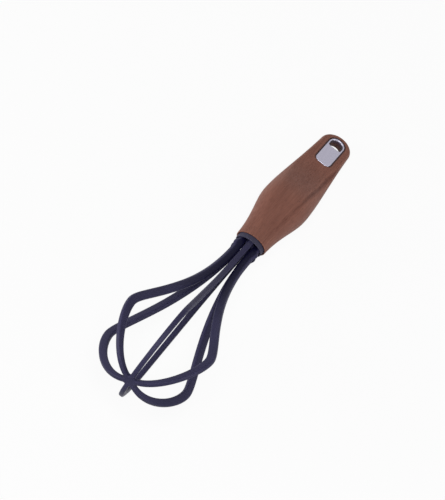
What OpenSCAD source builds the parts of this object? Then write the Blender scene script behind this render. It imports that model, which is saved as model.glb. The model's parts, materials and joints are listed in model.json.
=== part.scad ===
// Kitchen whisk: a moulded cage of tines, a socket collar and a wooden handle with a steel inlay.
// Each piece is drawn along +X, from the tip of the cage to the hanging end, with the front up.
// The finished whisk lies on a table, on its rearmost tine and the back of the handle's end.

/* [Cage] */
// Number of tines round the cage
tine_count = 6; // [4:2:6]
// Distance from the middle of the hub to the face of the collar
cage_l = 159.5; // [130:0.5:220]
// Distance from the middle of the hub to the widest place of the cage
belly_x = 38.3; // [30:0.1:48]
// Radius of the cage at its widest place, to the middle of the tines
belly_r = 35.4; // [28:0.1:44]
// Radius of the cage at its neck, to the middle of the tines
neck_r = 6.1; // [5.9:0.1:7]
// Distance from the neck to the face of the collar
neck_l = 10; // [6:0.5:30]
// Distance from the hub at which the cage begins to flatten towards its neck
flat_from = 75; // [50:1:110]
// Thickness of the neck and the roots together, as a share of their width
neck_flat_share = 0.55; // [0.5:0.01:1]
// Width of a tine at its neck and its root
tine_w = 4.2; // [3:0.1:4.4]
// Width of a tine from the hub to the widest place of the cage
tine_hub_w = 3.3; // [2.8:0.1:3.8]
// Depth of a tine at the hub
tine_hub_t = 3.6; // [3:0.1:5]
// Depth of a tine at the widest place of the cage
tine_belly_t = 6; // [4:0.1:7]
// Depth of a tine at the neck
tine_neck_t = 5.8; // [4.4:0.1:6.2]
// Depth of a tine at its root
tine_root_t = 4.8; // [4:0.1:5]
// Radius of the ring of roots, to the middle of the tines
root_r = 6.4; // [6.2:0.1:7.4]
// Height of the swelling on the outside of each tine before the collar
swell_t = 1.2; // [0:0.1:2]
// Radius of the webs between the tines at the hub
web_r = 0.9; // [0.5:0.1:2]

/* [Collar] */
// Width of the collar's rim round the roots
rim_w = 0.9; // [0.6:0.1:1.5]
// How far the collar stands out of the handle
collar_show = 3.7; // [1:0.1:5]
// Length of the head inside the handle
head_in = 4; // [3:0.1:6]
// Width of the shoulder between the head and the tang
shoulder_w = 0.2; // [0.1:0.05:0.4]
// Length of the tang behind the head
tang_l = 17; // [15:0.5:24]
// Length of the roots inside the collar
root_l = 19; // [14:0.5:20]
// How deep the wedge sits behind the collar's rim
wedge_in = 2; // [1:0.1:3]
// Half the width of the wedge at its inner end
wedge_tip_r = 2.4; // [1.5:0.1:3]

/* [Handle] */
// Length of the handle from its mouth to its end
handle_l = 130; // [110:1:150]
// Wall of the handle round the collar's head
mouth_wall = 1; // [1:0.1:2.5]
// Radius of the rounded lip at the mouth
lip_r = 0.4; // [0.3:0.1:1]
// Distance from the mouth to the widest place of the handle
grip_x = 48.5; // [44:0.5:58]
// Width of the handle at its widest place
grip_w = 34; // [28:0.1:38]
// Thickness of the handle at its widest place
grip_t = 21; // [18:0.5:26]
// Width of the rounded side at the widest place, outside the flat front
grip_side_w = 7.4; // [5:0.1:9]
// Length of the rounded end
end_l = 10.4; // [9:0.1:15]
// Width of the handle where the rounded end begins
end_w = 22.5; // [20:0.1:26]
// Thickness of the handle's end
end_t = 6.6; // [6:0.1:9]
// Width of the rounded side at the handle's end
end_side_w = 1.7; // [1:0.1:2.5]

/* [Hang plate] */
// Width of the plate
plate_w = 11.4; // [11:0.1:14]
// Length of the plate
plate_l = 28; // [22:0.1:32]
// Thickness of the plate
plate_t = 1; // [0.8:0.1:1.5]
// Corner radius at the plate's square end
plate_corner_r = 3.4; // [1:0.1:4.5]
// Wood left between the plate's seat and the end of the handle
plate_margin = 3.9; // [3:0.1:6]
// Width of the hanging hole
hole_w = 9.2; // [7:0.1:9.4]
// Length of the hanging hole, along the handle
hole_l = 8; // [6:0.1:9.5]
// Corner radius at the hole's flat end
hole_corner_r = 1.3; // [0.6:0.1:2]
// Wall of the flange that lines the hole
flange_wall = 0.7; // [0.5:0.1:0.9]
// Depth of the flange, from the face of the plate
flange_t = 3; // [2:0.1:4]

/* [Fits] */
// Clearance of the roots in the collar, and of the wedge between them
root_fit = 0.1; // [0.05:0.01:0.2]
// Clearance between the tang and its bore, and behind the head
tang_fit = 0.1; // [0.05:0.01:0.2]
// Clearance of the collar's head in the mouth
mouth_fit = 0.25; // [0.1:0.01:0.3]
// Clearance round the plate, which shows as a dark line
plate_fit = 0.4; // [0.2:0.05:0.6]
// Clearance of the flange in the wood
flange_fit = 0.1; // [0.05:0.01:0.2]

/* [Hidden] */
overrun = 1;

// Places along the axis
mouth_x = cage_l + collar_show;
handle_end_x = mouth_x + handle_l;
wedge_x = cage_l + wedge_in;
wedge_r = root_r - tine_root_t / 2 - root_fit;
root_out_r = root_r + tine_root_t / 2;
collar_out = root_fit + rim_w;
tang_out = collar_out - shoulder_w;
mouth_out = collar_out + mouth_fit + mouth_wall;
tang_end_x = mouth_x + head_in + tang_l;
root_end_x = cage_l + root_l;

// Small shares of the pieces
tine_sides = 12;
tine_edge_share = 0.55;
web_steps = 4;
lower_steps = 16;
upper_steps = 22;
swell_steps = 8;
oval_sides = 72;

// Pulls of the curves' handles, as shares of the lengths that they follow
hub_pull_share = 0.538;
belly_low_pull_share = 0.36;
belly_high_pull_share = 0.117;
neck_pull_share = 0.54;
mouth_pull_share = 0.5;
mouth_rise_share = 0.11;
grip_low_pull_share = 0.27;
grip_high_pull_share = 0.24;
taper_pull_share = 0.4;
taper_rise_share = 0.31;
front_low_pull_share = 0.4;
front_high_pull_share = 0.32;
front_end_pull_share = 0.42;

// A cubic curve through its first and last point, and its direction
function bez(p, t) = pow(1 - t, 3) * p[0] + 3 * pow(1 - t, 2) * t * p[1]
    + 3 * (1 - t) * t * t * p[2] + pow(t, 3) * p[3];
function bez_dir(p, t) = pow(1 - t, 2) * (p[1] - p[0]) + 2 * (1 - t) * t * (p[2] - p[1])
    + t * t * (p[3] - p[2]);
function unit(v) = v / norm(v);
function mix(a, b, t) = a + (b - a) * t;
function ease(t) = t * t * (3 - 2 * t);
function sgn_pow(v, e) = sign(v) * pow(abs(v), e);

// Each tine leaves the hub where the round webs between the tines end
half_turn = 180 / tine_count;
web_d = (web_r + tine_hub_w / 2) / sin(half_turn);
hub_r = web_d * cos(half_turn);

// The middle line of a tine, as distance along the axis and radius
neck_x = cage_l - neck_l;
neck_span = neck_x - belly_x;
low_curve = [
    [0, hub_r],
    [0, mix(hub_r, belly_r, hub_pull_share)],
    [belly_x * (1 - belly_low_pull_share), belly_r],
    [belly_x, belly_r]
];
high_curve = [
    [belly_x, belly_r],
    [belly_x + neck_span * belly_high_pull_share, belly_r],
    [neck_x - neck_span * neck_pull_share, neck_r],
    [neck_x, neck_r]
];

// The cage is round up to flat_from and an oval at its neck: thickness as a share of width
function flat_share(x) = mix(1, neck_flat_share,
    ease(max(0, min(1, (x - flat_from) / (neck_x - flat_from)))));

// A tine between the neck and the collar, from its inner and outer side at a share of the way
function neck_place(t) = let (
    inner = mix(neck_r - tine_neck_t / 2, root_r - tine_root_t / 2, ease(t)),
    outer = mix(neck_r + tine_neck_t / 2, root_out_r, ease(t)) + swell_t * pow(sin(180 * t), 2)
) [[mix(neck_x, cage_l, t), (inner + outer) / 2], [1, 0], outer - inner];

// One tine from the hub to its root: place, direction and depth
tine_line = concat(
    [for (i = [0 : lower_steps - 1])
        let (t = i / lower_steps, p = bez(low_curve, t))
        [p, unit(bez_dir(low_curve, t)),
            mix(tine_hub_t, tine_belly_t, (p[1] - hub_r) / (belly_r - hub_r))]],
    [for (i = [0 : upper_steps])
        let (t = i / upper_steps, p = bez(high_curve, t))
        [p, unit(bez_dir(high_curve, t)),
            mix(tine_belly_t, tine_neck_t, (p[0] - belly_x) / neck_span)]],
    [for (i = [1 : swell_steps]) neck_place(i / swell_steps)],
    [[[root_end_x, root_r], [1, 0], tine_root_t]]
);

// The width of a tine, which grows from the widest place of the cage to the neck
function tine_width(x) = mix(tine_hub_w, tine_w, max(0, min(1, (x - belly_x) / neck_span)));

// The section of a tine: a bar with rounded edges, of full size at its flats
half_side = 180 / tine_sides;
edge_k = pow(cos(half_side), tine_edge_share);
function tine_section(w, t) = [
    for (k = [0 : tine_sides - 1])
        let (a = half_side * (2 * k + 1))
        [t / 2 * sgn_pow(cos(a), tine_edge_share) / edge_k,
            w / 2 * sgn_pow(sin(a), tine_edge_share) / edge_k]
];

// A point of the cage, from its place along the axis, outward and sideways, on a tine's bearing
function on_bearing(x, r, y, a) =
    [x, r * sin(a) + y * cos(a), flat_share(x) * (r * cos(a) - y * sin(a))];
function bearing(i) = 2 * half_turn * i;

// The ring of points round a tine at one place of its line
function tine_ring(s, a) = [
    for (q = tine_section(tine_width(s[0][0]), s[2]))
        on_bearing(s[0][0] - s[1][1] * q[0], s[0][1] + s[1][0] * q[0], q[1], a)
];

// The points of the round web after tine i, at one level of the tine's edge
function web_row(i, q) = let (d = web_d * sin(half_turn) - q[1]) [
    for (m = [1 : web_steps - 1])
        let (turn = (90 - half_turn) * (1 - 2 * m / web_steps))
        on_bearing(-q[0], web_d - d * cos(turn), -d * sin(turn), bearing(i + 1 / 2))
];

// Where each point lies in the cage's list of points
edge_levels = tine_sides / 2;
line_n = len(tine_line);
webs_at = tine_count * line_n * tine_sides;
hub_at = webs_at + tine_count * edge_levels * (web_steps - 1);
function tine_at(i, s, k) = ((i % tine_count) * line_n + s) * tine_sides + (k % tine_sides);
function web_at(i, j) = concat(
    [tine_at(i, 0, j)],
    [for (m = [0 : web_steps - 2]) webs_at + (i * edge_levels + j) * (web_steps - 1) + m],
    [tine_at(i + 1, 0, tine_sides - 1 - j)]
);

// Two triangles between four corners
function quad(a, b, c, d) = [[a, b, c], [a, c, d]];

// The whole cage is one skin: tines, round webs and the two faces of the hub
module cage_body() {
    hub_section = tine_section(tine_hub_w, tine_hub_t);
    polyhedron(
        points = concat(
            [for (i = [0 : tine_count - 1], s = tine_line, p = tine_ring(s, bearing(i))) p],
            [for (i = [0 : tine_count - 1], j = [0 : edge_levels - 1],
                p = web_row(i, hub_section[j])) p],
            [[-tine_hub_t / 2, 0, 0], [tine_hub_t / 2, 0, 0]]
        ),
        faces = concat(
            [for (i = [0 : tine_count - 1], s = [0 : line_n - 2], k = [0 : tine_sides - 1])
                each quad(tine_at(i, s, k), tine_at(i, s, k + 1),
                    tine_at(i, s + 1, k + 1), tine_at(i, s + 1, k))],
            [for (i = [0 : tine_count - 1])
                [for (k = [0 : tine_sides - 1]) tine_at(i, line_n - 1, k)]],
            [for (i = [0 : tine_count - 1], j = [0 : edge_levels - 2], m = [0 : web_steps - 1])
                each quad(web_at(i, j)[m], web_at(i, j)[m + 1],
                    web_at(i, j + 1)[m + 1], web_at(i, j + 1)[m])],
            [for (i = [0 : tine_count - 1], m = [0 : web_steps - 1])
                [hub_at, web_at(i, 0)[m + 1], web_at(i, 0)[m]]],
            [for (i = [0 : tine_count - 1])
                [hub_at, tine_at(i, 0, 0), tine_at(i, 0, tine_sides - 1)]],
            [for (i = [0 : tine_count - 1], m = [0 : web_steps - 1])
                [hub_at + 1, web_at(i, edge_levels - 1)[m], web_at(i, edge_levels - 1)[m + 1]]],
            [for (i = [0 : tine_count - 1])
                [hub_at + 1, tine_at(i, 0, edge_levels), tine_at(i, 0, edge_levels - 1)]]
        ),
        convexity = 8
    );
}

module tine_cage() {
    color([0.20, 0.18, 0.27])
        laid()
            cage_body();
}

// An oval round the ring of roots, this far outside it
function oval(out, r = root_out_r) = [
    for (k = [0 : oval_sides - 1])
        let (a = 360 * k / oval_sides)
        [(r + out) * cos(a), (r * neck_flat_share + out) * sin(a)]
];

// A bar along the axis with this outline, given as distances across and up
module bar(from_x, to_x, outline) {
    translate([from_x, 0, 0])
        rotate([90, 0, 90])
            linear_extrude(to_x - from_x)
                polygon(outline);
}

module root_collar() {
    color([0.24, 0.24, 0.31])
        laid()
            difference() {
                union() {
                    bar(cage_l, mouth_x + head_in, oval(collar_out));
                    bar(mouth_x, tang_end_x, oval(tang_out));
                }
                bar(cage_l - overrun, root_end_x + root_fit, oval(root_fit));
            }
}

// The wedge tapers into the collar: its two ends are ovals like the ring of roots
module root_wedge() {
    n = oval_sides;
    color([0.16, 0.15, 0.22])
        laid()
            polyhedron(
                points = concat(
                    [for (p = oval(0, wedge_r)) [wedge_x, p[0], p[1]]],
                    [for (p = oval(0, wedge_tip_r)) [root_end_x, p[0], p[1]]]
                ),
                faces = concat(
                    [[for (k = [n - 1 : -1 : 0]) k], [for (k = [n : 2 * n - 1]) k]],
                    [for (k = [0 : n - 1]) each quad(k, (k + 1) % n, n + (k + 1) % n, n + k)]
                )
            );
}

crease_max = 24;

// The handle's half width, half thickness and width of its rounded side, along its length
mouth_r = root_out_r + mouth_out;
mouth_half_t = root_out_r * neck_flat_share + mouth_out;
seat_l = plate_l + 2 * plate_fit;
seat_x = handle_l - plate_margin - seat_l;
flat_x = seat_x - plate_margin;
round_from = handle_l - end_l;
end_half_w = end_w / 2;
grip_half_w = grip_w / 2;
taper_l = round_from - grip_x;
front_l = flat_x - grip_x;
side_low_curve = [
    [0, mouth_r],
    [grip_x * mouth_pull_share, mouth_r + (grip_half_w - mouth_r) * mouth_rise_share],
    [grip_x * (1 - grip_low_pull_share), grip_half_w],
    [grip_x, grip_half_w]
];
side_high_curve = [
    [grip_x, grip_half_w],
    [grip_x + taper_l * grip_high_pull_share, grip_half_w],
    [round_from - taper_l * taper_pull_share, mix(end_half_w, grip_half_w, taper_rise_share)],
    [round_from, end_half_w]
];
front_low_curve = [
    [0, mouth_half_t],
    [grip_x * front_low_pull_share, mouth_half_t],
    [grip_x * (1 - front_high_pull_share), grip_t / 2],
    [grip_x, grip_t / 2]
];
front_high_curve = [
    [grip_x, grip_t / 2],
    [grip_x + front_l * front_high_pull_share, grip_t / 2],
    [flat_x - front_l * front_end_pull_share, end_t / 2],
    [flat_x, end_t / 2]
];

// The second coordinate of a curve where its first is x, found by halving
function curve_at(p, x, lo = 0, hi = 1, n = 14) = let (mid = (lo + hi) / 2)
    n == 0 ? bez(p, mid)[1]
    : bez(p, mid)[0] < x ? curve_at(p, x, mid, hi, n - 1) : curve_at(p, x, lo, mid, n - 1);
function half_w(x) = x >= round_from ? end_half_w
    : x <= grip_x ? curve_at(side_low_curve, x) : curve_at(side_high_curve, x);
function half_t(x) = x >= flat_x ? end_t / 2
    : x <= grip_x ? curve_at(front_low_curve, x) : curve_at(front_high_curve, x);
function side_w(x) = x <= grip_x ? mix(mouth_r, grip_side_w, ease(min(1, x / (grip_x / 2))))
    : mix(grip_side_w, end_side_w, ease(min(1, (x - grip_x) / front_l)));
function crease(x) = crease_max * ease(min(1, x / (grip_x / 2)));

// Height over the handle's middle plane, as a share, at a share of the rounded side's width
function side_rise(share, a) = share >= 1 ? 1
    : cos(asin(mix(1, sin(a), max(0, share)))) / cos(a);

// Places along the handle at which its section is drawn
grip_steps = 12;
taper_steps = 14;
round_steps = 8;
lip_steps = 3;
handle_places = concat(
    [for (i = [1 : grip_steps]) mix(lip_r, grip_x, i / grip_steps)],
    [for (i = [1 : taper_steps]) mix(grip_x, round_from, i / taper_steps)],
    [for (i = [1 : round_steps - 1]) round_from + end_l * sin(90 * i / round_steps)]
);

// Shares of the half width at which a section has its points, from the middle to the side
flat_steps = 2;
side_steps = 6;
section_sides = 4 * (flat_steps + side_steps);
least_ridge_share = 0.38;
function edge_place(j, ridge, a) = j <= flat_steps ? ridge * j / flat_steps
    : mix(ridge, 1, (sin(mix(a, 90, (j - flat_steps) / side_steps)) - sin(a)) / (1 - sin(a)));

// Distance inward from the handle's outline, at a place along it and across it
function inside(x, y, w) = x <= round_from ? w - y
    : (1 - norm([(x - round_from) / end_l, y / end_half_w])) * end_half_w;

// One quarter of a section, as distance across and height
function quarter(x) = let (
    w = half_w(x),
    round_share = x <= round_from ? 1 : cos(asin((x - round_from) / end_l)),
    side = side_w(x),
    a = crease(x),
    ridge = max(least_ridge_share, 1 - side / w)
) [
    for (j = [0 : flat_steps + side_steps])
        let (y = w * round_share * edge_place(j, ridge, a))
        [y, j == flat_steps + side_steps ? 0 : half_t(x) * side_rise(inside(x, y, w) / side, a)]
];

// A whole section, all the way round
function section(q, k) = let (m = flat_steps + side_steps) concat(
    [for (j = [0 : m - 1]) [k * q[j][0], k * q[j][1]]],
    [for (j = [m : -1 : 1]) [k * q[j][0], -k * q[j][1]]],
    [for (j = [0 : m - 1]) [-k * q[j][0], -k * q[j][1]]],
    [for (j = [m : -1 : 1]) [-k * q[j][0], k * q[j][1]]]
);
function placed(s, x) = [for (p = s) [mouth_x + x, p[0], p[1]]];
handle_rings = concat(
    [for (i = [0 : lip_steps])
        let (a = 90 * i / lip_steps, x = lip_r * (1 - cos(a)))
        placed(section(quarter(lip_r), 1 - lip_r * (1 - sin(a)) / mouth_r), x)],
    [for (x = handle_places) placed(section(quarter(x), 1), x)]
);

// The rounded solid of the handle, which closes on a point at its end
module handle_body() {
    n = len(handle_rings);
    m = section_sides;
    tip = n * m;
    polyhedron(
        points = concat([for (r = handle_rings, p = r) p], [[handle_end_x, 0, 0]]),
        faces = concat(
            [[for (k = [m - 1 : -1 : 0]) k]],
            [for (i = [0 : n - 2], k = [0 : m - 1])
                let (a = i * m + k, b = i * m + (k + 1) % m)
                each [[a, b + m, a + m], [a, b, b + m]]],
            [for (k = [0 : m - 1]) [(n - 1) * m + k, (n - 1) * m + (k + 1) % m, tip]]
        ),
        convexity = 4
    );
}

// The plate's outline, round at the hanging end and with two small corners at the other
seat_end_x = handle_end_x - plate_margin;
plate_round_x = seat_end_x - plate_fit - plate_w / 2;
plate_square_x = seat_end_x - plate_fit - plate_l;
module plate_outline(grow) {
    r = plate_w / 2 + grow;
    c = plate_corner_r + grow;
    x0 = plate_square_x - grow;
    translate([plate_round_x, 0])
        circle(r = r, $fn = 96);
    translate([x0 + c, -r])
        square([plate_round_x - x0 - c, 2 * r]);
    translate([x0, c - r])
        square([2 * c, 2 * (r - c)]);
    for (side = [-1, 1])
        translate([x0 + c, side * (r - c)])
            circle(r = c, $fn = 48);
}

// The hole's outline, round towards the hanging end and flat towards the grip
hole_square_x = plate_round_x + hole_w / 2 - hole_l;
module hole_outline(grow) {
    r = hole_w / 2 + grow;
    c = hole_corner_r + grow;
    x0 = hole_square_x - grow;
    intersection() {
        translate([plate_round_x, 0])
            circle(r = r, $fn = 96);
        translate([x0 + c, -r])
            square([hole_l + 2 * grow, 2 * r]);
    }
    translate([x0 + c, -r])
        square([plate_round_x - x0 - c, 2 * r]);
    translate([x0, c - r])
        square([2 * c, 2 * (r - c)]);
    for (side = [-1, 1])
        translate([x0 + c, side * (r - c)])
            circle(r = c, $fn = 48);
}

face_z = end_t / 2;
module handle() {
    color([0.47, 0.32, 0.28])
        laid()
            difference() {
                handle_body();
                bar(mouth_x - overrun, mouth_x + head_in + tang_fit, oval(collar_out + mouth_fit));
                bar(mouth_x, tang_end_x + tang_fit, oval(tang_out + tang_fit));
                translate([0, 0, face_z - plate_t])
                    linear_extrude(plate_t + overrun)
                        plate_outline(plate_fit);
                translate([0, 0, face_z - flange_t - flange_fit])
                    linear_extrude(flange_t + overrun)
                        hole_outline(flange_wall + flange_fit);
                translate([0, 0, -face_z - overrun])
                    linear_extrude(end_t + overrun)
                        hole_outline(0);
            }
}

module hang_plate() {
    color([0.66, 0.65, 0.70])
        laid()
            difference() {
                union() {
                    translate([0, 0, face_z - plate_t])
                        linear_extrude(plate_t)
                            plate_outline(0);
                    translate([0, 0, face_z - flange_t])
                        linear_extrude(flange_t - plate_t / 2)
                            hole_outline(flange_wall);
                }
                translate([0, 0, face_z - flange_t - overrun])
                    linear_extrude(flange_t + 2 * overrun)
                        hole_outline(0);
            }
}

// How the whisk lies: the lowest outer points of the rear tine and of the handle's back
tine_outer = [
    for (s = tine_line)
        let (x = s[0][0] - s[1][1] * s[2] / 2)
        [x, flat_share(x) * (s[0][1] + s[1][0] * s[2] / 2)]
];
handle_outer = concat([for (r = handle_rings) [r[0][0], r[0][2]]], [[handle_end_x, 0]]);
function depth_of(pts, a) = max([for (p = pts) p[0] * sin(a) + p[1] * cos(a)]);
function lean_at(lo, hi, n) = let (mid = (lo + hi) / 2)
    n == 0 ? mid
    : depth_of(tine_outer, mid) > depth_of(handle_outer, mid) ? lean_at(mid, hi, n - 1)
    : lean_at(lo, mid, n - 1);
lean = lean_at(0, 45, 40);
laid_z = depth_of(tine_outer, lean);
tip_x = min([for (p = tine_outer) p[0] * cos(lean) - p[1] * sin(lean)]);
end_x = max([for (p = handle_outer) p[0] * cos(lean) + p[1] * sin(lean)]);
laid_x = (tip_x + end_x) / 2;

module laid() {
    translate([-laid_x, 0, laid_z])
        rotate([0, lean, 0])
            children();
}

tine_cage();
root_collar();
root_wedge();
handle();
hang_plate();
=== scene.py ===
"""The whisk's looks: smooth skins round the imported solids, their materials, the light and the camera.

Shapes are in millimetres in the whisk's own frame: +X from the tip of the cage to the hanging end,
+Z out of the front of the handle. LAID takes that frame, in metres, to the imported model's frame.
At the end of a name, L is a length, W a width, T a thickness or depth, and R a radius.
"""

import json
import math

import bmesh
import bpy
from mathutils import Matrix, Vector


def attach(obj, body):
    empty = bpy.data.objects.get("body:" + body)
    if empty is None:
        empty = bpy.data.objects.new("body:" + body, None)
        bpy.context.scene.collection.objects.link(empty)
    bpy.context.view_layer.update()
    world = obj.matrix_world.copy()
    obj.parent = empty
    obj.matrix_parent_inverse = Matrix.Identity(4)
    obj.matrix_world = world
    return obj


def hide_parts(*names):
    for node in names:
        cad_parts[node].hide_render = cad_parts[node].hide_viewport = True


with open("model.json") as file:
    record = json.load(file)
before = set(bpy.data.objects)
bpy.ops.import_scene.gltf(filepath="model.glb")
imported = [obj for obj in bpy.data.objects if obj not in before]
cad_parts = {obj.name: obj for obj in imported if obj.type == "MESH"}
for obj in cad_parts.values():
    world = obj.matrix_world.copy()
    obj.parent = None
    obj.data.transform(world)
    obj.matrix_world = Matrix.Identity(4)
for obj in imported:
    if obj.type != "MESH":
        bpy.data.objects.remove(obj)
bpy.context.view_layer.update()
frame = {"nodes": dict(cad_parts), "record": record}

MM = 0.001

# Cage. At its widest place the skin's tines are a little wider than the solids', as they look
TINE_COUNT = 6
CAGE_L = 159.5
BELLY_X, BELLY_R = 38.3, 35.4
NECK_R, NECK_L, FLAT_FROM, NECK_FLAT = 6.1, 10, 75, 0.55
TINE_W, TINE_HUB_W, TINE_BELLY_W = 4.2, 3.3, 3.62
TINE_HUB_T, TINE_BELLY_T, TINE_NECK_T, TINE_ROOT_T = 3.6, 6, 5.8, 4.8
ROOT_R, SWELL_T = 6.4, 1.2
WEB_R = 0.9

# Collar
RIM_W, COLLAR_SHOW, HEAD_IN, SHOULDER_W = 0.9, 3.7, 4, 0.2
TANG_L, ROOT_L = 17, 19

# Handle
HANDLE_L, MOUTH_WALL, LIP_R = 130, 1, 0.4
GRIP_X, GRIP_W, GRIP_T, GRIP_SIDE_W = 48.5, 34, 21, 7.4
END_L, END_W, END_T, END_SIDE_W = 10.4, 22.5, 6.6, 1.7

# Hang plate
PLATE_W, PLATE_L, PLATE_T, PLATE_CORNER_R, PLATE_MARGIN = 11.4, 28, 1, 3.4, 3.9
HOLE_W, HOLE_L, HOLE_CORNER_R = 9.2, 8, 1.3
FLANGE_WALL, FLANGE_T = 0.7, 3

# Fits
ROOT_FIT, TANG_FIT, MOUTH_FIT, PLATE_FIT, FLANGE_FIT = 0.1, 0.1, 0.25, 0.4, 0.1

# Places along the axis, and distances outside the oval of the roots
MOUTH_X = CAGE_L + COLLAR_SHOW
HANDLE_END_X = MOUTH_X + HANDLE_L
ROOT_END_X = CAGE_L + ROOT_L
ROOT_OUT_R = ROOT_R + TINE_ROOT_T / 2
COLLAR_OUT = ROOT_FIT + RIM_W
TANG_OUT = COLLAR_OUT - SHOULDER_W
MOUTH_OUT = COLLAR_OUT + MOUTH_FIT + MOUTH_WALL
TANG_END_X = MOUTH_X + HEAD_IN + TANG_L
MOUTH_R = ROOT_OUT_R + MOUTH_OUT
MOUTH_HALF_T = ROOT_OUT_R * NECK_FLAT + MOUTH_OUT
FACE_Z = END_T / 2
PLATE_ROUND_X = HANDLE_END_X - PLATE_MARGIN - PLATE_FIT - PLATE_W / 2
PLATE_SQUARE_X = HANDLE_END_X - PLATE_MARGIN - PLATE_FIT - PLATE_L
HOLE_SQUARE_X = PLATE_ROUND_X + HOLE_W / 2 - HOLE_L
HOLE_MID_X = HOLE_SQUARE_X + HOLE_L / 2

# How the whisk lies on the table, from the hanging hole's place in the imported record
hang = next(m for m in frame["record"]["mounts"] if m["name"] == "hang_hole")
LEAN = math.asin(hang["axis"][0])
LAID = (
    Matrix.Translation(hang["pos_m"])
    @ Matrix.Rotation(LEAN, 4, "Y")
    @ Matrix.Translation((-HOLE_MID_X * MM, 0, 0))
)


# Curves
HALVINGS = 30


def bez(p, t):
    """A point on a cubic curve through its first and last point."""
    s = 1 - t
    return s**3 * p[0] + 3 * s * s * t * p[1] + 3 * s * t * t * p[2] + t**3 * p[3]


def bez_direction(p, t):
    """The direction of the curve at the same place."""
    s = 1 - t
    return (s * s * (p[1] - p[0]) + 2 * s * t * (p[2] - p[1]) + t * t * (p[3] - p[2])).normalized()


def curve(*points):
    return [Vector(p) for p in points]


def curve_at(p, x):
    """The second coordinate of a curve where its first is x, found by halving."""
    low, high = 0, 1
    for _ in range(HALVINGS):
        middle = (low + high) / 2
        low, high = (middle, high) if bez(p, middle).x < x else (low, middle)
    return bez(p, low).y


def mix(a, b, t):
    return a + (b - a) * t


def ease(t):
    """A share that starts and ends gently."""
    return t * t * (3 - 2 * t)


def signed_power(v, e):
    """A power that keeps the sign, for a section with rounded corners."""
    return math.copysign(abs(v) ** e, v)


# Meshes, whose points are one where they lie closer than this
SAME_POINT = 0.001


def ring_faces(rings, sides, around=False):
    """Four-cornered faces between rings that have the same number of points."""
    pairs = [(i, i + 1) for i in range(rings - 1)] + ([(rings - 1, 0)] if around else [])
    return [
        (a * sides + k, a * sides + (k + 1) % sides, b * sides + (k + 1) % sides, b * sides + k)
        for a, b in pairs
        for k in range(sides)
    ]


def new_object(name, points, faces, sharp):
    """A smooth mesh with sharp edges where faces meet at more than that angle, in degrees."""
    mesh = bpy.data.meshes.new(name)
    mesh.from_pydata([Vector(p) * MM for p in points], [], faces)
    made = bpy.data.objects.new(name, mesh)
    bpy.context.scene.collection.objects.link(made)
    finish_mesh(made, sharp)
    return made


def finish_mesh(piece, sharp):
    """Joins doubled points, turns the faces outward and makes them smooth between sharp edges."""
    bm = bmesh.new()
    bm.from_mesh(piece.data)
    bmesh.ops.remove_doubles(bm, verts=bm.verts, dist=SAME_POINT * MM)
    bmesh.ops.recalc_face_normals(bm, faces=bm.faces)
    for face in bm.faces:
        face.smooth = True
    bm.to_mesh(piece.data)
    bm.free()
    piece.data.set_sharp_from_angle(angle=math.radians(sharp))


def loft(name, rings, around=False, sharp=35):
    """A closed skin over rings of points: its ends are filled, or its last ring joins the first."""
    sides = len(rings[0])
    faces = ring_faces(len(rings), sides, around)
    if not around:
        last = (len(rings) - 1) * sides
        faces += [tuple(range(sides)), tuple(range(last, last + sides))]
    return new_object(name, [p for ring in rings for p in ring], faces, sharp)


def cut(piece, cutters, sharp):
    """Cuts the cutters out of the piece."""
    for cutter in cutters:
        boolean = piece.modifiers.new("cut", "BOOLEAN")
        boolean.solver = "EXACT"
        boolean.object = cutter
    graph = bpy.context.evaluated_depsgraph_get()
    mesh = bpy.data.meshes.new_from_object(piece.evaluated_get(graph))
    piece.modifiers.clear()
    piece.data = mesh
    finish_mesh(piece, sharp)
    for cutter in cutters:
        bpy.data.objects.remove(cutter)


def settle(piece, material, node):
    """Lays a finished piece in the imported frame, in the place of the node that it stands for."""
    piece.data.materials.clear()
    piece.data.materials.append(material)
    normals = piece.modifiers.new("normals", "WEIGHTED_NORMAL")
    normals.keep_sharp = True
    piece.data.transform(LAID)
    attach(piece, "root")
    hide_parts(node)


def quarter_round(steps=6):
    """Shares of a radius along and across a quarter round, from its start to its end."""
    angles = [math.radians(90) * i / steps for i in range(steps + 1)]
    return [(1 - math.cos(a), math.sin(a)) for a in angles]


# Cage: six tines and a hub in one skin, which lies a little inside the solid to stay in its box
SKIN_INSET = 0.02
TINE_EDGE_SHARE = 0.55
TINE_SIDES = 28
WEB_STEPS = 8
LOWER_STEPS, UPPER_STEPS, SWELL_STEPS = 40, 60, 24
HUB_PULL, BELLY_LOW_PULL, BELLY_HIGH_PULL, NECK_PULL = 0.538, 0.36, 0.117, 0.54

# Half the turn from one tine to the next, and how far from the axis a web's middle and the hub's rim lie
HALF_TURN = math.pi / TINE_COUNT
WEB_D = (WEB_R + TINE_HUB_W / 2) / math.sin(HALF_TURN)
HUB_R = WEB_D * math.cos(HALF_TURN)


def tine_width(x):
    """The width of a tine, which grows from the hub to the widest place of the cage and to the neck."""
    if x < BELLY_X:
        return mix(TINE_HUB_W, TINE_BELLY_W, ease(max(0, x / BELLY_X)))
    return mix(TINE_BELLY_W, TINE_W, min(1, (x - BELLY_X) / (CAGE_L - NECK_L - BELLY_X)))


def tine_section(w, t):
    """A bar with rounded edges, as outward and sideways distances from its middle line."""
    angles = [math.pi * (2 * k + 1) / TINE_SIDES for k in range(TINE_SIDES)]
    return [
        (
            (t / 2 - SKIN_INSET) * signed_power(math.cos(a), TINE_EDGE_SHARE),
            w / 2 * signed_power(math.sin(a), TINE_EDGE_SHARE),
        )
        for a in angles
    ]


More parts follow.
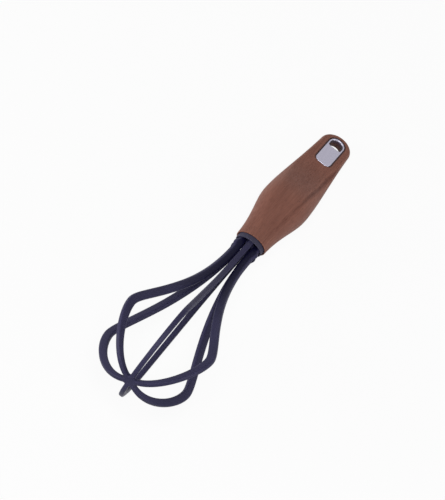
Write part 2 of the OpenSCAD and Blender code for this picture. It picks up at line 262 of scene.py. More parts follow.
def tine_line():
    """Places down a tine: point and direction along the axis and outward, and the tine's depth."""
    neck_x = CAGE_L - NECK_L
    span = neck_x - BELLY_X
    low = curve(
        (0, HUB_R),
        (0, mix(HUB_R, BELLY_R, HUB_PULL)),
        (BELLY_X * (1 - BELLY_LOW_PULL), BELLY_R),
        (BELLY_X, BELLY_R),
    )
    high = curve(
        (BELLY_X, BELLY_R),
        (BELLY_X + span * BELLY_HIGH_PULL, BELLY_R),
        (neck_x - span * NECK_PULL, NECK_R),
        (neck_x, NECK_R),
    )
    line = []
    for i in range(LOWER_STEPS):
        p = bez(low, i / LOWER_STEPS)
        share = (p.y - HUB_R) / (BELLY_R - HUB_R)
        line.append((p, bez_direction(low, i / LOWER_STEPS), mix(TINE_HUB_T, TINE_BELLY_T, share)))
    for i in range(UPPER_STEPS + 1):
        p = bez(high, i / UPPER_STEPS)
        share = (p.x - BELLY_X) / span
        line.append((p, bez_direction(high, i / UPPER_STEPS), mix(TINE_BELLY_T, TINE_NECK_T, share)))
    for i in range(1, SWELL_STEPS + 1):
        t = i / SWELL_STEPS
        inner = mix(NECK_R - TINE_NECK_T / 2, ROOT_R - TINE_ROOT_T / 2, ease(t))
        outer = mix(NECK_R + TINE_NECK_T / 2, ROOT_OUT_R, ease(t)) + SWELL_T * math.sin(math.pi * t) ** 2
        line.append((Vector((mix(neck_x, CAGE_L, t), (inner + outer) / 2)), Vector((1, 0)), outer - inner))
    line.append((Vector((ROOT_END_X, ROOT_R)), Vector((1, 0)), TINE_ROOT_T))
    return line


def flat_share(x):
    """The cage's thickness as a share of its width: round at first, then an oval at the neck."""
    t = (x - FLAT_FROM) / (CAGE_L - NECK_L - FLAT_FROM)
    return mix(1, NECK_FLAT, ease(max(0, min(1, t))))


def on_bearing(x, r, y, a):
    """A point from its place along the axis, outward and sideways, on a tine's bearing."""
    return (x, r * math.sin(a) + y * math.cos(a), flat_share(x) * (r * math.cos(a) - y * math.sin(a)))


def cage_skin():
    line = tine_line()
    sides, levels = TINE_SIDES, TINE_SIDES // 2
    hub_section = tine_section(TINE_HUB_W, TINE_HUB_T)
    points = [
        on_bearing(p.x - d.y * q[0], p.y + d.x * q[0], q[1], 2 * HALF_TURN * i)
        for i in range(TINE_COUNT)
        for p, d, t in line
        for q in tine_section(tine_width(p.x), t)
    ]

    def tine_at(i, s, k):
        return ((i % TINE_COUNT) * len(line) + s) * sides + k % sides

    # Round webs between the tines: one row of points for each level of a tine's edge
    rows = {}
    for i in range(TINE_COUNT):
        for j in range(levels):
            q = hub_section[j]
            d = WEB_R + TINE_HUB_W / 2 - q[1]
            row = [tine_at(i, 0, j)]
            for m in range(1, WEB_STEPS):
                turn = (math.pi / 2 - HALF_TURN) * (1 - 2 * m / WEB_STEPS)
                row.append(len(points))
                out, along = WEB_D - d * math.cos(turn), -d * math.sin(turn)
                points.append(on_bearing(-q[0], out, along, (2 * i + 1) * HALF_TURN))
            rows[i, j] = row + [tine_at(i + 1, 0, sides - 1 - j)]

    faces = []
    for i in range(TINE_COUNT):
        for s in range(len(line) - 1):
            for k in range(sides):
                corners = ((s, k), (s, k + 1), (s + 1, k + 1), (s + 1, k))
                faces.append(tuple(tine_at(i, *corner) for corner in corners))
        faces.append(tuple(tine_at(i, len(line) - 1, k) for k in range(sides)))
        for j in range(levels - 1):
            for m in range(WEB_STEPS):
                faces.append((rows[i, j][m], rows[i, j][m + 1], rows[i, j + 1][m + 1], rows[i, j + 1][m]))

    # The tip of the hub and its inner face, each round a point in the middle
    for level, x, first in ((0, -TINE_HUB_T / 2, 0), (levels - 1, TINE_HUB_T / 2, levels)):
        middle = len(points)
        points.append((x, 0, 0))
        for i in range(TINE_COUNT):
            row = rows[i, level]
            faces += [(middle, row[m], row[m + 1]) for m in range(WEB_STEPS)]
            faces.append((middle, tine_at(i, 0, first), tine_at(i, 0, first - 1)))
    return new_object("tine_cage_skin", points, faces, sharp=50)


# Collar, and solids with oval sections
OVAL_SIDES = 144
RIM_ROUND_SHARE = 0.42
TANG_BEVEL = 0.4


def oval_solid(name, profile):
    """A solid from a profile of distances outside the oval of the roots, and places along the axis."""
    turns = [2 * math.pi * k / OVAL_SIDES for k in range(OVAL_SIDES)]
    rings = [
        [(x, (ROOT_OUT_R + out) * math.cos(a), (ROOT_OUT_R * NECK_FLAT + out) * math.sin(a)) for a in turns]
        for out, x in profile
    ]
    return loft(name, rings)


def collar_skin():
    rim_round = RIM_W * RIM_ROUND_SHARE
    head_end_x = MOUTH_X + HEAD_IN
    profile = [(ROOT_FIT, ROOT_END_X + ROOT_FIT)]
    profile += [(ROOT_FIT + rim_round * u, CAGE_L + rim_round * (1 - v)) for u, v in quarter_round()]
    profile += [(COLLAR_OUT - rim_round * (1 - v), CAGE_L + rim_round * u) for u, v in quarter_round()]
    profile += [
        (COLLAR_OUT, head_end_x),
        (TANG_OUT, head_end_x),
        (TANG_OUT, TANG_END_X - TANG_BEVEL),
        (TANG_OUT - TANG_BEVEL, TANG_END_X),
    ]
    return oval_solid("root_collar_skin", profile)


# Handle
MOUTH_PULL, MOUTH_RISE = 0.5, 0.11
GRIP_LOW_PULL, GRIP_HIGH_PULL = 0.27, 0.24
TAPER_PULL, TAPER_RISE = 0.4, 0.31
FRONT_LOW_PULL, FRONT_HIGH_PULL, FRONT_END_PULL = 0.4, 0.32, 0.42

# How sharply the side meets the flat front, the least share of the width that the front takes, and
# the length over which the mouth's oval turns into that form
CREASE = math.radians(24)
LEAST_RIDGE_SHARE = 0.38
OVAL_L = GRIP_X / 2

ROUND_FROM = HANDLE_L - END_L
SEAT_X = HANDLE_L - PLATE_MARGIN - PLATE_L - 2 * PLATE_FIT
FLAT_X = SEAT_X - PLATE_MARGIN
TAPER_L = ROUND_FROM - GRIP_X
FRONT_L = FLAT_X - GRIP_X
SIDE_LOW = curve(
    (0, MOUTH_R),
    (GRIP_X * MOUTH_PULL, mix(MOUTH_R, GRIP_W / 2, MOUTH_RISE)),
    (GRIP_X * (1 - GRIP_LOW_PULL), GRIP_W / 2),
    (GRIP_X, GRIP_W / 2),
)
SIDE_HIGH = curve(
    (GRIP_X, GRIP_W / 2),
    (GRIP_X + TAPER_L * GRIP_HIGH_PULL, GRIP_W / 2),
    (ROUND_FROM - TAPER_L * TAPER_PULL, mix(END_W / 2, GRIP_W / 2, TAPER_RISE)),
    (ROUND_FROM, END_W / 2),
)
FRONT_LOW = curve(
    (0, MOUTH_HALF_T),
    (GRIP_X * FRONT_LOW_PULL, MOUTH_HALF_T),
    (GRIP_X * (1 - FRONT_HIGH_PULL), GRIP_T / 2),
    (GRIP_X, GRIP_T / 2),
)
FRONT_HIGH = curve(
    (GRIP_X, GRIP_T / 2),
    (GRIP_X + FRONT_L * FRONT_HIGH_PULL, GRIP_T / 2),
    (FLAT_X - FRONT_L * FRONT_END_PULL, END_T / 2),
    (FLAT_X, END_T / 2),
)


def half_w(x):
    """Half the width of the handle."""
    if x >= ROUND_FROM:
        return END_W / 2
    return curve_at(SIDE_LOW if x <= GRIP_X else SIDE_HIGH, x)


def half_t(x):
    """Half the thickness of the handle."""
    if x >= FLAT_X:
        return END_T / 2
    return curve_at(FRONT_LOW if x <= GRIP_X else FRONT_HIGH, x)


def side_w(x):
    """The width of the rounded side, outside the flat front."""
    if x <= GRIP_X:
        return mix(MOUTH_R, GRIP_SIDE_W, ease(min(1, x / OVAL_L)))
    return mix(GRIP_SIDE_W, END_SIDE_W, ease(min(1, (x - GRIP_X) / FRONT_L)))


def inside(x, y, w):
    """Distance inward from the handle's outline."""
    if x <= ROUND_FROM:
        return w - y
    return (1 - math.hypot((x - ROUND_FROM) / END_L, y / (END_W / 2))) * END_W / 2


FLAT_STEPS, SIDE_STEPS = 10, 20
CREASE_ROUNDS = 3


def quarter(x):
    """One quarter of a section, as distance across and height."""
    w, side = half_w(x), side_w(x)
    a = CREASE * ease(min(1, x / OVAL_L))
    ridge = max(LEAST_RIDGE_SHARE, 1 - side / w)
    shrink = 1 if x <= ROUND_FROM else math.cos(math.asin((x - ROUND_FROM) / END_L))
    points = []
    for j in range(FLAT_STEPS + SIDE_STEPS + 1):
        if j <= FLAT_STEPS:
            place = ridge * j / FLAT_STEPS
        else:
            turn = mix(a, math.pi / 2, (j - FLAT_STEPS) / SIDE_STEPS)
            place = mix(ridge, 1, (math.sin(turn) - math.sin(a)) / (1 - math.sin(a)))
        y = w * shrink * place
        share = min(1, max(0, inside(x, y, w) / side))
        rise = math.cos(math.asin(mix(1, math.sin(a), share))) / math.cos(a)
        points.append((y, 0 if j == FLAT_STEPS + SIDE_STEPS else half_t(x) * rise))
    for _ in range(CREASE_ROUNDS):
        near = range(FLAT_STEPS - 1, FLAT_STEPS + 2)
        moved = {
            j: tuple((before + 2 * here + after) / 4 for before, here, after in zip(*points[j - 1 : j + 2]))
            for j in near
        }
        for j in near:
            points[j] = moved[j]
    return points


def section(x, scale, place):
    """A whole section of the handle, all the way round."""
    q = quarter(x)
    last = len(q) - 1
    loop = [q[j] for j in range(last)]
    loop += [(q[j][0], -q[j][1]) for j in range(last, 0, -1)]
    loop += [(-q[j][0], -q[j][1]) for j in range(last)]
    loop += [(-q[j][0], q[j][1]) for j in range(last, 0, -1)]
    return [(MOUTH_X + place, scale * y, scale * z) for y, z in loop]


# The skin's end lies a little inside the solid's, to stay in its box
END_INSET = 0.1
GRIP_STEPS, TAPER_STEPS, ROUND_STEPS, LIP_STEPS = 56, 76, 26, 8


def handle_rings():
    """Sections through the lip of the mouth, the grip, the taper and the rounded end."""
    rings = []
    for u, v in quarter_round(LIP_STEPS):
        rings.append(section(LIP_R, 1 - LIP_R * (1 - v) / MOUTH_R, LIP_R * u))
    places = [mix(LIP_R, GRIP_X, i / GRIP_STEPS) for i in range(1, GRIP_STEPS + 1)]
    places += [mix(GRIP_X, ROUND_FROM, i / TAPER_STEPS) for i in range(1, TAPER_STEPS + 1)]
    rings += [section(x, 1, x) for x in places]
    for i in range(1, ROUND_STEPS):
        share = math.sin(math.pi / 2 * i / ROUND_STEPS)
        rings.append(section(ROUND_FROM + END_L * share, 1, ROUND_FROM + (END_L - END_INSET) * share))
    return rings


ROUND_POINTS, CORNER_POINTS = 64, 12


def outline(round_x, square_x, r, corner_r, grow, z):
    """An outline that is round towards the hanging end and has two small corners towards the grip."""
    big, small = r + grow, corner_r + grow
    points = [
        (round_x + big * math.sin(a), big * math.cos(a), z)
        for a in (math.pi * i / ROUND_POINTS for i in range(ROUND_POINTS + 1))
    ]
    for side, start in ((-1, math.pi / 2), (1, math.pi)):
        for i in range(CORNER_POINTS + 1):
            a = start + math.pi / 2 * i / CORNER_POINTS
            y = side * (r - corner_r) - small * math.sin(a)
            points.append((square_x + corner_r + small * math.cos(a), y, z))
    return points


def plate_outline(grow, z):
    return outline(PLATE_ROUND_X, PLATE_SQUARE_X, PLATE_W / 2, PLATE_CORNER_R, grow, z)


def hole_outline(grow, z):
    return outline(PLATE_ROUND_X, HOLE_SQUARE_X, HOLE_W / 2, HOLE_CORNER_R, grow, z)


# Rounded edges of the seat, the back of the hole and the mouth, and how far a cutter runs past a face
SEAT_ROUND, BACK_ROUND, MOUTH_EDGE = 0.15, 0.25, 0.3
PAST = 1


def handle_skin():
    rings = handle_rings()
    sides = len(rings[0])
    points = [p for ring in rings for p in ring] + [(HANDLE_END_X - END_INSET, 0, 0)]
    last = (len(rings) - 1) * sides
    faces = ring_faces(len(rings), sides) + [tuple(range(sides))]
    faces += [(last + k, last + (k + 1) % sides, len(points) - 1) for k in range(sides)]
    handle = new_object("handle_wood", points, faces, sharp=50)

    bore_out = COLLAR_OUT + MOUTH_FIT
    bore = oval_solid(
        "bore",
        [(bore_out + MOUTH_EDGE, MOUTH_X - PAST)]
        + [(bore_out + MOUTH_EDGE * (1 - v), MOUTH_X + MOUTH_EDGE * u) for u, v in quarter_round()]
        + [
            (bore_out, MOUTH_X + HEAD_IN + TANG_FIT),
            (TANG_OUT + TANG_FIT, MOUTH_X + HEAD_IN + TANG_FIT),
            (TANG_OUT + TANG_FIT, TANG_END_X + TANG_FIT),
        ],
    )
    seat_edge = [(PLATE_FIT + SEAT_ROUND * u, FACE_Z - SEAT_ROUND * (1 - v)) for u, v in quarter_round(4)]
    seat = loft(
        "seat",
        [plate_outline(PLATE_FIT, FACE_Z - PLATE_T)]
        + [plate_outline(grow, z) for grow, z in seat_edge]
        + [plate_outline(PLATE_FIT + SEAT_ROUND, FACE_Z + PAST)],
    )
    flange_room = loft(
        "flange_room",
        [hole_outline(FLANGE_WALL + FLANGE_FIT, z) for z in (FACE_Z - FLANGE_T - FLANGE_FIT, FACE_Z + PAST)],
    )
    through = loft(
        "through",
        [hole_outline(0, FACE_Z + PAST)]
        + [hole_outline(BACK_ROUND * u, BACK_ROUND * (1 - v) - FACE_Z) for u, v in quarter_round()]
        + [hole_outline(BACK_ROUND, -FACE_Z - PAST)],
    )
    cut(handle, (bore, seat, flange_room, through), sharp=40)
    return handle


# Hang plate: a stamped plate whose hole is drawn down into a flange
PLATE_EDGE, HOLE_EDGE, BURR = 0.3, 0.5, 0.12


def plate_skin():
    underside = FACE_Z - PLATE_T
    low = FACE_Z - FLANGE_T
    rings = [plate_outline(-BURR, underside), plate_outline(0, underside + BURR)]
    rings += [plate_outline(-PLATE_EDGE * u, FACE_Z - PLATE_EDGE * (1 - v)) for u, v in quarter_round(8)]
    rings += [hole_outline(HOLE_EDGE * (1 - v), FACE_Z - HOLE_EDGE * u) for u, v in quarter_round(8)]
    rings += [
        hole_outline(0, low + BURR),
        hole_outline(BURR, low),
        hole_outline(FLANGE_WALL - BURR, low),
        hole_outline(FLANGE_WALL, low + BURR),
        hole_outline(FLANGE_WALL, underside),
    ]
    return loft("hang_plate_steel", rings, around=True, sharp=40)


# Materials
NOISE_LOW, NOISE_HIGH = 0.3, 0.7


class Surface:
    """A material and the few kinds of texture that the whisk's surfaces are made of."""

    def __init__(self, name, **constants):
        self.material = bpy.data.materials.new(name)
        self.material.use_nodes = True
        self.nodes = self.material.node_tree.nodes
        self.links = self.material.node_tree.links
        self.shader = self.nodes["Principled BSDF"]
        # Places in the whisk's own frame, in metres
        laid = self.nodes.new("ShaderNodeTexCoord").outputs["Object"]
        to_whisk = {"Vector": laid, "Rotation": (0, -LEAN, 0), "Location": LAID.inverted().translation}
        self.place = self.add("ShaderNodeMapping", to_whisk).outputs[0]
        for socket, value in constants.items():
            self.shader.inputs[socket.replace("_", " ")].default_value = value

    def add(self, kind, inputs=(), **settings):
        node = self.nodes.new(kind)
        for key, value in settings.items():
            setattr(node, key, value)
        for socket, value in dict(inputs).items():
            if isinstance(value, bpy.types.NodeSocket):
                self.links.new(value, node.inputs[socket])
            else:
                node.inputs[socket].default_value = value
        return node

    def stretched(self, scale, shift=(0, 0, 0)):
        return self.add(
            "ShaderNodeMapping", {"Vector": self.place, "Scale": scale, "Location": shift}
        ).outputs[0]

    def noise(self, scale, detail, roughness=0.5, shift=(0, 0, 0)):
        """Noise with a grain of 1 / scale metres along each axis."""
        vector = self.stretched(scale, shift)
        return self.add(
            "ShaderNodeTexNoise", {"Vector": vector, "Scale": 1, "Detail": detail, "Roughness": roughness}
        ).outputs["Fac"]

    def span(self, value, low, high, to_low=0, to_high=1):
        """A value between two bounds, taken to two others."""
        return self.add(
            "ShaderNodeMapRange",
            {"Value": value, "From Min": low, "From Max": high, "To Min": to_low, "To Max": to_high},
        ).outputs[0]

    def spread(self, noise, low, high):
        """Noise taken to two bounds, from those that it seldom leaves."""
        return self.span(noise, NOISE_LOW, NOISE_HIGH, low, high)

    def math(self, operation, a, b=0):
        return self.add("ShaderNodeMath", {0: a, 1: b}, operation=operation).outputs[0]

    def axes(self):
        """Places along the whisk's own axes, in millimetres."""
        in_mm = self.stretched((1 / MM, 1 / MM, 1 / MM))
        return self.add("ShaderNodeSeparateXYZ", {0: in_mm}).outputs

    def hypot(self, a, b):
        squares = [self.math("MULTIPLY", side, side) for side in (a, b)]
        return self.math("SQRT", self.math("ADD", *squares))

    def blend(self, share, a, b):
        """Two colours mixed. Sockets 6 and 7 are the ones that take colours."""
        return self.add("ShaderNodeMix", {"Factor": share, 6: a, 7: b}, data_type="RGBA").outputs[2]

    def ramp(self, value, *stops):
        node = self.add("ShaderNodeValToRGB", {"Fac": value})
        elements = node.color_ramp.elements
        while len(elements) < len(stops):
            elements.new(0.5)
        for element, (place, colour) in zip(elements, stops):
            element.position = place
            element.color = colour
        return node.outputs["Color"]

    def bump(self, height, distance, under=None):
        """Relief of that height in millimetres, on top of what lies under it."""
        inputs = {"Height": height, "Distance": distance * MM, "Strength": 1}
        if under is not None:
            inputs["Normal"] = under
        return self.add("ShaderNodeBump", inputs).outputs[0]

    def finish(self, **outputs):
        for socket, value in outputs.items():
            self.links.new(value, self.shader.inputs[socket.replace("_", " ")])
        return self.material


def rgb(r, g, b):
    """A colour from the 0 to 255 values that it shows on screen."""
    return tuple(((c / 255 + 0.055) / 1.055) ** 2.4 for c in (r, g, b)) + (1,)


# A painted highlight and painted shade of the crease run light, dark and light beside a line along one side
# of the handle, and fade to its side and its mouth
STREAK_X, STREAK_Y, STREAK_SLOPE, STREAK_HALF_W, STREAK_WAVER = 190, -7.1, -0.062, 5, 0.7
STREAK_NONE_Z, STREAK_FULL_Z, STREAK_STRENGTH = 1, 4, 0.55
STREAK_FAINT_X, STREAK_FULL_X, STREAK_FAINT = 180, 225, 0.25


def crease_light_and_shade(s, x, y, z):
    """What the painted highlight and shade of the crease add to the tone of the wood: light, dark and light
    again across the line.
    """
    waver = s.noise((30, 60, 60), detail=2, shift=(0.9, 0, 0))
    middle = s.math("ADD", s.math("MULTIPLY", s.math("SUBTRACT", x, STREAK_X), STREAK_SLOPE), STREAK_Y)
    middle = s.math("ADD", middle, s.spread(waver, -STREAK_WAVER, STREAK_WAVER))
    streak = s.ramp(
        s.span(s.math("SUBTRACT", y, middle), -STREAK_HALF_W, STREAK_HALF_W),
        (0.12, (0.5, 0.5, 0.5, 1)),
        (0.26, (0.7, 0.7, 0.7, 1)),
        (0.37, (0.35, 0.35, 0.35, 1)),
        (0.48, (0, 0, 0, 1)),
        (0.6, (0.35, 0.35, 0.35, 1)),
        (0.68, (0.85, 0.85, 0.85, 1)),
        (0.8, (0.5, 0.5, 0.5, 1)),
    )
    on_front = s.span(z, STREAK_NONE_Z, STREAK_FULL_Z, 0, STREAK_STRENGTH)
    strength = s.math("MULTIPLY", on_front, s.span(x, STREAK_FAINT_X, STREAK_FULL_X, STREAK_FAINT, 1))
    return s.math("MULTIPLY", s.math("SUBTRACT", streak, 0.5), strength)


def outside_plate(s, x, y):
    """Distance outside the plate, from its round end and from its end with two corners."""
    corner_x = s.math("SUBTRACT", PLATE_SQUARE_X + PLATE_CORNER_R, x)
    corner_y = s.math("SUBTRACT", s.math("ABSOLUTE", y), PLATE_W / 2 - PLATE_CORNER_R)
    square_end = s.hypot(s.math("MAXIMUM", corner_x, 0), s.math("MAXIMUM", corner_y, 0))
    round_end = s.hypot(s.math("MAXIMUM", s.math("SUBTRACT", x, PLATE_ROUND_X), 0), y)
    past_square = s.math("SUBTRACT", square_end, PLATE_CORNER_R)
    return s.math("MAXIMUM", past_square, s.math("SUBTRACT", round_end, PLATE_W / 2))


# Painted shade: a dark line round the plate's seat, where its gap lies in shadow, left out at its lower end,
# and painted shade in the hanging hole
SEAT_DARK, SEAT_DARK_END, SEAT_FADE_L = 0.7, 1.3, 2
SEAT_NONE_Z, SEAT_FULL_Z = 1, 2
HOLE_DARK_FROM, HOLE_DARK_TO, HOLE_DARK_STRENGTH = -0.3, -0.7, 0.7

# Painted shade also lies inside the mouth, in a line that is thicker on the side where the gap's shadow
# falls
MOUTH_THIN_Y, MOUTH_THICK_Y, MOUTH_THIN_SHARE, MOUTH_THICK_SHARE = 7, -1, 1.01, 1.055
MOUTH_FADE_IN, MOUTH_FADE_OUT, MOUTH_DARK_L = 0.03, 0.01, 26
LINE_STRENGTH = 0.85


def painted_shade_share(s, x, y, z):
    """How much painted shade lies at a place: in the seat's gap, in the mouth and in the hanging hole."""
    outside = outside_plate(s, x, y)
    at_seat = s.span(outside, SEAT_DARK, SEAT_DARK_END, 1, 0)
    at_seat = s.math("MULTIPLY", at_seat, s.span(z, SEAT_NONE_Z, SEAT_FULL_Z))
    at_seat = s.math("MULTIPLY", at_seat, s.span(x, PLATE_SQUARE_X, PLATE_SQUARE_X + SEAT_FADE_L))

    edge_out = COLLAR_OUT + MOUTH_FIT + MOUTH_EDGE
    share_y = s.math("DIVIDE", y, ROOT_OUT_R + edge_out)
    share_z = s.math("DIVIDE", z, ROOT_OUT_R * NECK_FLAT + edge_out)
    dark_to = s.span(y, MOUTH_THIN_Y, MOUTH_THICK_Y, MOUTH_THIN_SHARE, MOUTH_THICK_SHARE)
    past_dark = s.math("SUBTRACT", s.hypot(share_y, share_z), dark_to)
    in_mouth = s.span(past_dark, -MOUTH_FADE_IN, MOUTH_FADE_OUT, 1, 0)
    in_mouth = s.math("MULTIPLY", in_mouth, s.math("LESS_THAN", x, MOUTH_X + MOUTH_DARK_L))

    lines = s.math("MULTIPLY", s.math("MAXIMUM", at_seat, in_mouth), LINE_STRENGTH)
    in_hole = s.span(outside, HOLE_DARK_FROM, HOLE_DARK_TO, 0, HOLE_DARK_STRENGTH)
    return s.math("MAXIMUM", lines, in_hole)


FIBRE_SHARE = 0.62
PORE_STRENGTH = 0.6


def wood():
    s = Surface("handle_wood_oiled", Specular_IOR_Level=0.25)
    x, y, z = s.axes()
    fibres = s.noise((45, 1300, 1300), detail=5, roughness=0.6)
    clouds = s.noise((28, 110, 110), detail=3, shift=(0.3, 0, 0))
    pores = s.noise((330, 3000, 3000), detail=2, roughness=0.45, shift=(0, 0.7, 0))
    tone = s.math("MULTIPLY", fibres, FIBRE_SHARE)
    tone = s.math("ADD", tone, s.math("MULTIPLY", clouds, 1 - FIBRE_SHARE))
    # The tone takes the painted highlight and shade of the crease
    colour = s.ramp(
        s.math("ADD", tone, crease_light_and_shade(s, x, y, z)),
        (0.2, rgb(92, 53, 43)),
        (0.42, rgb(117, 75, 63)),
        (0.58, rgb(127, 83, 70)),
        (0.8, rgb(143, 97, 81)),
    )
    pore = s.span(pores, 0.67, 0.72)
    colour = s.blend(s.math("MULTIPLY", pore, PORE_STRENGTH), colour, rgb(66, 36, 29))
    # Painted shade in the seat's gap, in the mouth and in the hanging hole
    colour = s.blend(painted_shade_share(s, x, y, z), colour, rgb(42, 24, 26))
    relief = s.bump(fibres, distance=0.06)
    relief = s.bump(s.math("SUBTRACT", 1, pore), distance=0.1, under=relief)
    return s.finish(Base_Color=colour, Roughness=s.spread(fibres, 0.62, 0.5), Normal=relief)


# Painted shade: the side faces of the tines darken towards the neck, where they lie off the middle planes of
# the tines
FLANK_X, FLANK_FULL_X, FLANK_STRENGTH = 75, 130, 0.92
FLANK_IN, FLANK_OUT = 1.5, 1.95
FLANK_SHADE_COLOUR = rgb(6, 5, 36)


def flank_shade_share(s):
    """1 where the side faces of the tines near the neck take painted shade, from the distance to the nearest
    tine's own plane.
    """
    x, y, z = s.axes()
    bent = s.add(
        "ShaderNodeMapRange",
        {"Value": x, "From Min": FLAT_FROM, "From Max": CAGE_L - NECK_L, "To Min": 1, "To Max": NECK_FLAT},
        interpolation_type="SMOOTHSTEP",
    ).outputs[0]
    round_z = s.math("DIVIDE", z, bent)
    nearest = s.math("ABSOLUTE", y)
    for side in (1, -1):
        a = side * 2 * HALF_TURN
        across_y, across_z = s.math("MULTIPLY", y, math.cos(a)), s.math("MULTIPLY", round_z, math.sin(a))
        beside = s.math("SUBTRACT", across_y, across_z)
        nearest = s.math("MINIMUM", nearest, s.math("ABSOLUTE", beside))
    along = s.span(x, FLANK_X, FLANK_FULL_X, 0, FLANK_STRENGTH)
    return s.math("MULTIPLY", s.span(nearest, FLANK_IN, FLANK_OUT), along)


def nylon(name, dark, light, rough=0.44, shaded_flanks=False):
    s = Surface(name, Specular_IOR_Level=0.1)
    clouds = s.noise((45, 45, 45), detail=3)
    spark = s.noise((2600, 2600, 2600), detail=3, roughness=0.6)
    colour = s.ramp(clouds, (0.35, dark), (0.65, light))
    if shaded_flanks:
        # Painted shade on the side faces of the tines near the neck
        colour = s.blend(flank_shade_share(s), colour, FLANK_SHADE_COLOUR)
    uneven = s.math("ADD", s.spread(spark, rough - 0.04, rough + 0.06), s.spread(clouds, -0.03, 0.03))
    return s.finish(Base_Color=colour, Roughness=uneven, Normal=s.bump(spark, distance=0.03))


# The flange is painted in shade below this depth, where it lies down in the hole
FLANGE_DARK = 1.2


def steel():
    s = Surface("plate_steel_brushed", Metallic=1)
    lines = s.noise((60, 9000, 900), detail=4, roughness=0.7)
    smudges = s.noise((160, 160, 160), detail=3)
    colour = s.ramp(lines, (0.3, rgb(160, 157, 172)), (0.7, rgb(178, 175, 190)))
    z = s.axes()[2]
    # Painted shade on the flange down in the hole
    colour = s.blend(s.span(z, FACE_Z - FLANGE_DARK, FACE_Z - HOLE_EDGE, 1, 0), colour, rgb(66, 52, 62))
    rough = s.math("ADD", s.spread(lines, 0.3, 0.42), s.spread(smudges, -0.04, 0.04))
    return s.finish(Base_Color=colour, Roughness=rough, Normal=s.bump(lines, distance=0.004))


tine_nylon = nylon("tine_nylon_satin", rgb(46, 44, 69), rgb(53, 51, 77), shaded_flanks=True)
collar_nylon = nylon("collar_nylon_satin", rgb(60, 58, 75), rgb(68, 66, 83), rough=0.5)
settle(cage_skin(), tine_nylon, "tine_cage")
settle(collar_skin(), collar_nylon, "root_collar")
settle(handle_skin(), wood(), "handle")
settle(plate_skin(), steel(), "hang_plate")
wedge = frame["nodes"]["root_wedge"]
wedge.data.materials.clear()
wedge.data.materials.append(tine_nylon)

# Camera, as the photograph's: the whisk's tip is nearer than its handle
TILT, TURN, ROLL = (math.radians(a) for a in (45.85, 4.79, 41.57))
CAMERA_D = 3448
LOOK_X = 140
SENSOR = 36

# The image's height, and where the point looked at lies from its middle, in pixels
IMAGE_H = 500
PIXELS_PER_MM = 1.567
RIGHT_PIXELS, DOWN_PIXELS = 11.58, 12.33
LOOK_RIGHT, LOOK_DOWN = RIGHT_PIXELS / PIXELS_PER_MM, DOWN_PIXELS / PIXELS_PER_MM

camera_data = bpy.data.cameras.new("camera")
camera_data.sensor_width = SENSOR
camera_data.lens = SENSOR * PIXELS_PER_MM * CAMERA_D / IMAGE_H
camera = bpy.data.objects.new("camera", camera_data)
bpy.context.scene.collection.objects.link(camera)
camera_turn = Matrix.Rotation(TURN, 4, "X") @ Matrix.Rotation(-TILT, 4, "Y")
camera_turn = camera_turn @ Matrix.Rotation(ROLL - math.pi / 2, 4, "Z")
looked_at = LAID @ Matrix.Translation((LOOK_X * MM, 0, 0)) @ camera_turn
camera.matrix_world = looked_at @ Matrix.Translation((-LOOK_RIGHT * MM, LOOK_DOWN * MM, CAMERA_D * MM))
bpy.context.scene.camera = camera


# Light, floor and background
def lamp(name, direction, distance, size, power):
    """A square soft lamp, placed from the camera's right, up and back directions."""
    data = bpy.data.lights.new(name, "AREA")
    data.size = size
    data.energy = power
    made = bpy.data.objects.new(name, data)
    bpy.context.scene.collection.objects.link(made)
    away = (looked_at.to_3x3() @ Vector(direction)).normalized()
    made.location = looked_at.translation + away * distance
    made.rotation_mode = "QUATERNION"
    made.rotation_quaternion = away.to_track_quat("Z", "Y")


lamp("key", (-0.85, 0.35, 0.4), distance=1.6, size=0.8, power=18.5)
lamp("fill", (0.8, -0.45, 0.4), distance=1.6, size=0.8, power=9)
lamp("top", (0.1, 0.2, 0.95), distance=1.8, size=0.9, power=20)


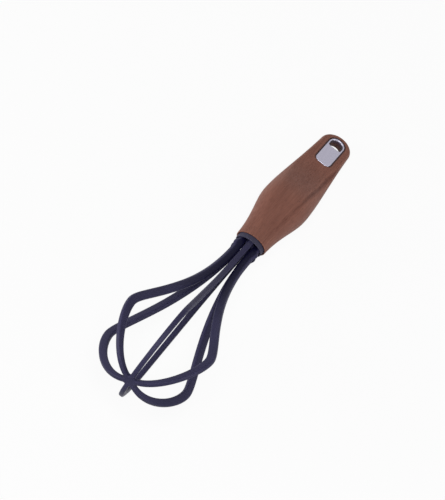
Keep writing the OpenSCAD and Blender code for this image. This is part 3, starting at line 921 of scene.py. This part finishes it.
def seen_share(tree):
    """1 for what the camera, a glossy ray or a refracted ray sees, and 0 for the light on the object."""
    path = tree.nodes.new("ShaderNodeLightPath")
    share = path.outputs["Is Camera Ray"]
    for name in ("Is Glossy Ray", "Is Transmission Ray"):
        most = tree.nodes.new("ShaderNodeMath")
        most.operation = "MAXIMUM"
        tree.links.new(share, most.inputs[0])
        tree.links.new(path.outputs[name], most.inputs[1])
        share = most.outputs[0]
    return share


def make_world(strength):
    world = bpy.data.worlds.new("studio")
    world.use_nodes = True
    tree = world.node_tree
    light = tree.nodes["Background"]
    light.inputs["Color"].default_value = (1, 1, 1, 1)
    light.inputs["Strength"].default_value = strength
    seen = tree.nodes.new("ShaderNodeBackground")
    seen.inputs["Color"].default_value = (1, 1, 1, 1)
    blend = tree.nodes.new("ShaderNodeMixShader")
    tree.links.new(seen_share(tree), blend.inputs[0])
    tree.links.new(light.outputs[0], blend.inputs[1])
    tree.links.new(seen.outputs[0], blend.inputs[2])
    tree.links.new(blend.outputs[0], tree.nodes["World Output"].inputs["Surface"])
    bpy.context.scene.world = world


def make_floor(size, kept_white, grey):
    """A pale floor that shows nearly white and keeps a faint shadow."""
    half = size / 2
    corners = [(-half, -half, 0), (half, -half, 0), (half, half, 0), (-half, half, 0)]
    mesh = bpy.data.meshes.new("floor")
    mesh.from_pydata(corners, [], [(0, 1, 2, 3)])
    floor = bpy.data.objects.new("floor", mesh)
    bpy.context.scene.collection.objects.link(floor)
    material = bpy.data.materials.new("floor_paper")
    material.use_nodes = True
    tree = material.node_tree
    paper = tree.nodes["Principled BSDF"]
    paper.inputs["Base Color"].default_value = (grey, grey, grey, 1)
    paper.inputs["Roughness"].default_value = 1
    paper.inputs["Specular IOR Level"].default_value = 0
    glow = tree.nodes.new("ShaderNodeEmission")
    share = tree.nodes.new("ShaderNodeMath")
    share.operation = "MULTIPLY"
    share.inputs[1].default_value = kept_white
    blend = tree.nodes.new("ShaderNodeMixShader")
    tree.links.new(seen_share(tree), share.inputs[0])
    tree.links.new(share.outputs[0], blend.inputs[0])
    tree.links.new(paper.outputs[0], blend.inputs[1])
    tree.links.new(glow.outputs[0], blend.inputs[2])
    tree.links.new(blend.outputs[0], tree.nodes["Material Output"].inputs["Surface"])
    mesh.materials.append(material)


make_world(strength=0.08)
make_floor(size=12, kept_white=0.93, grey=0.75)
bpy.context.scene.view_settings.view_transform = "Standard"
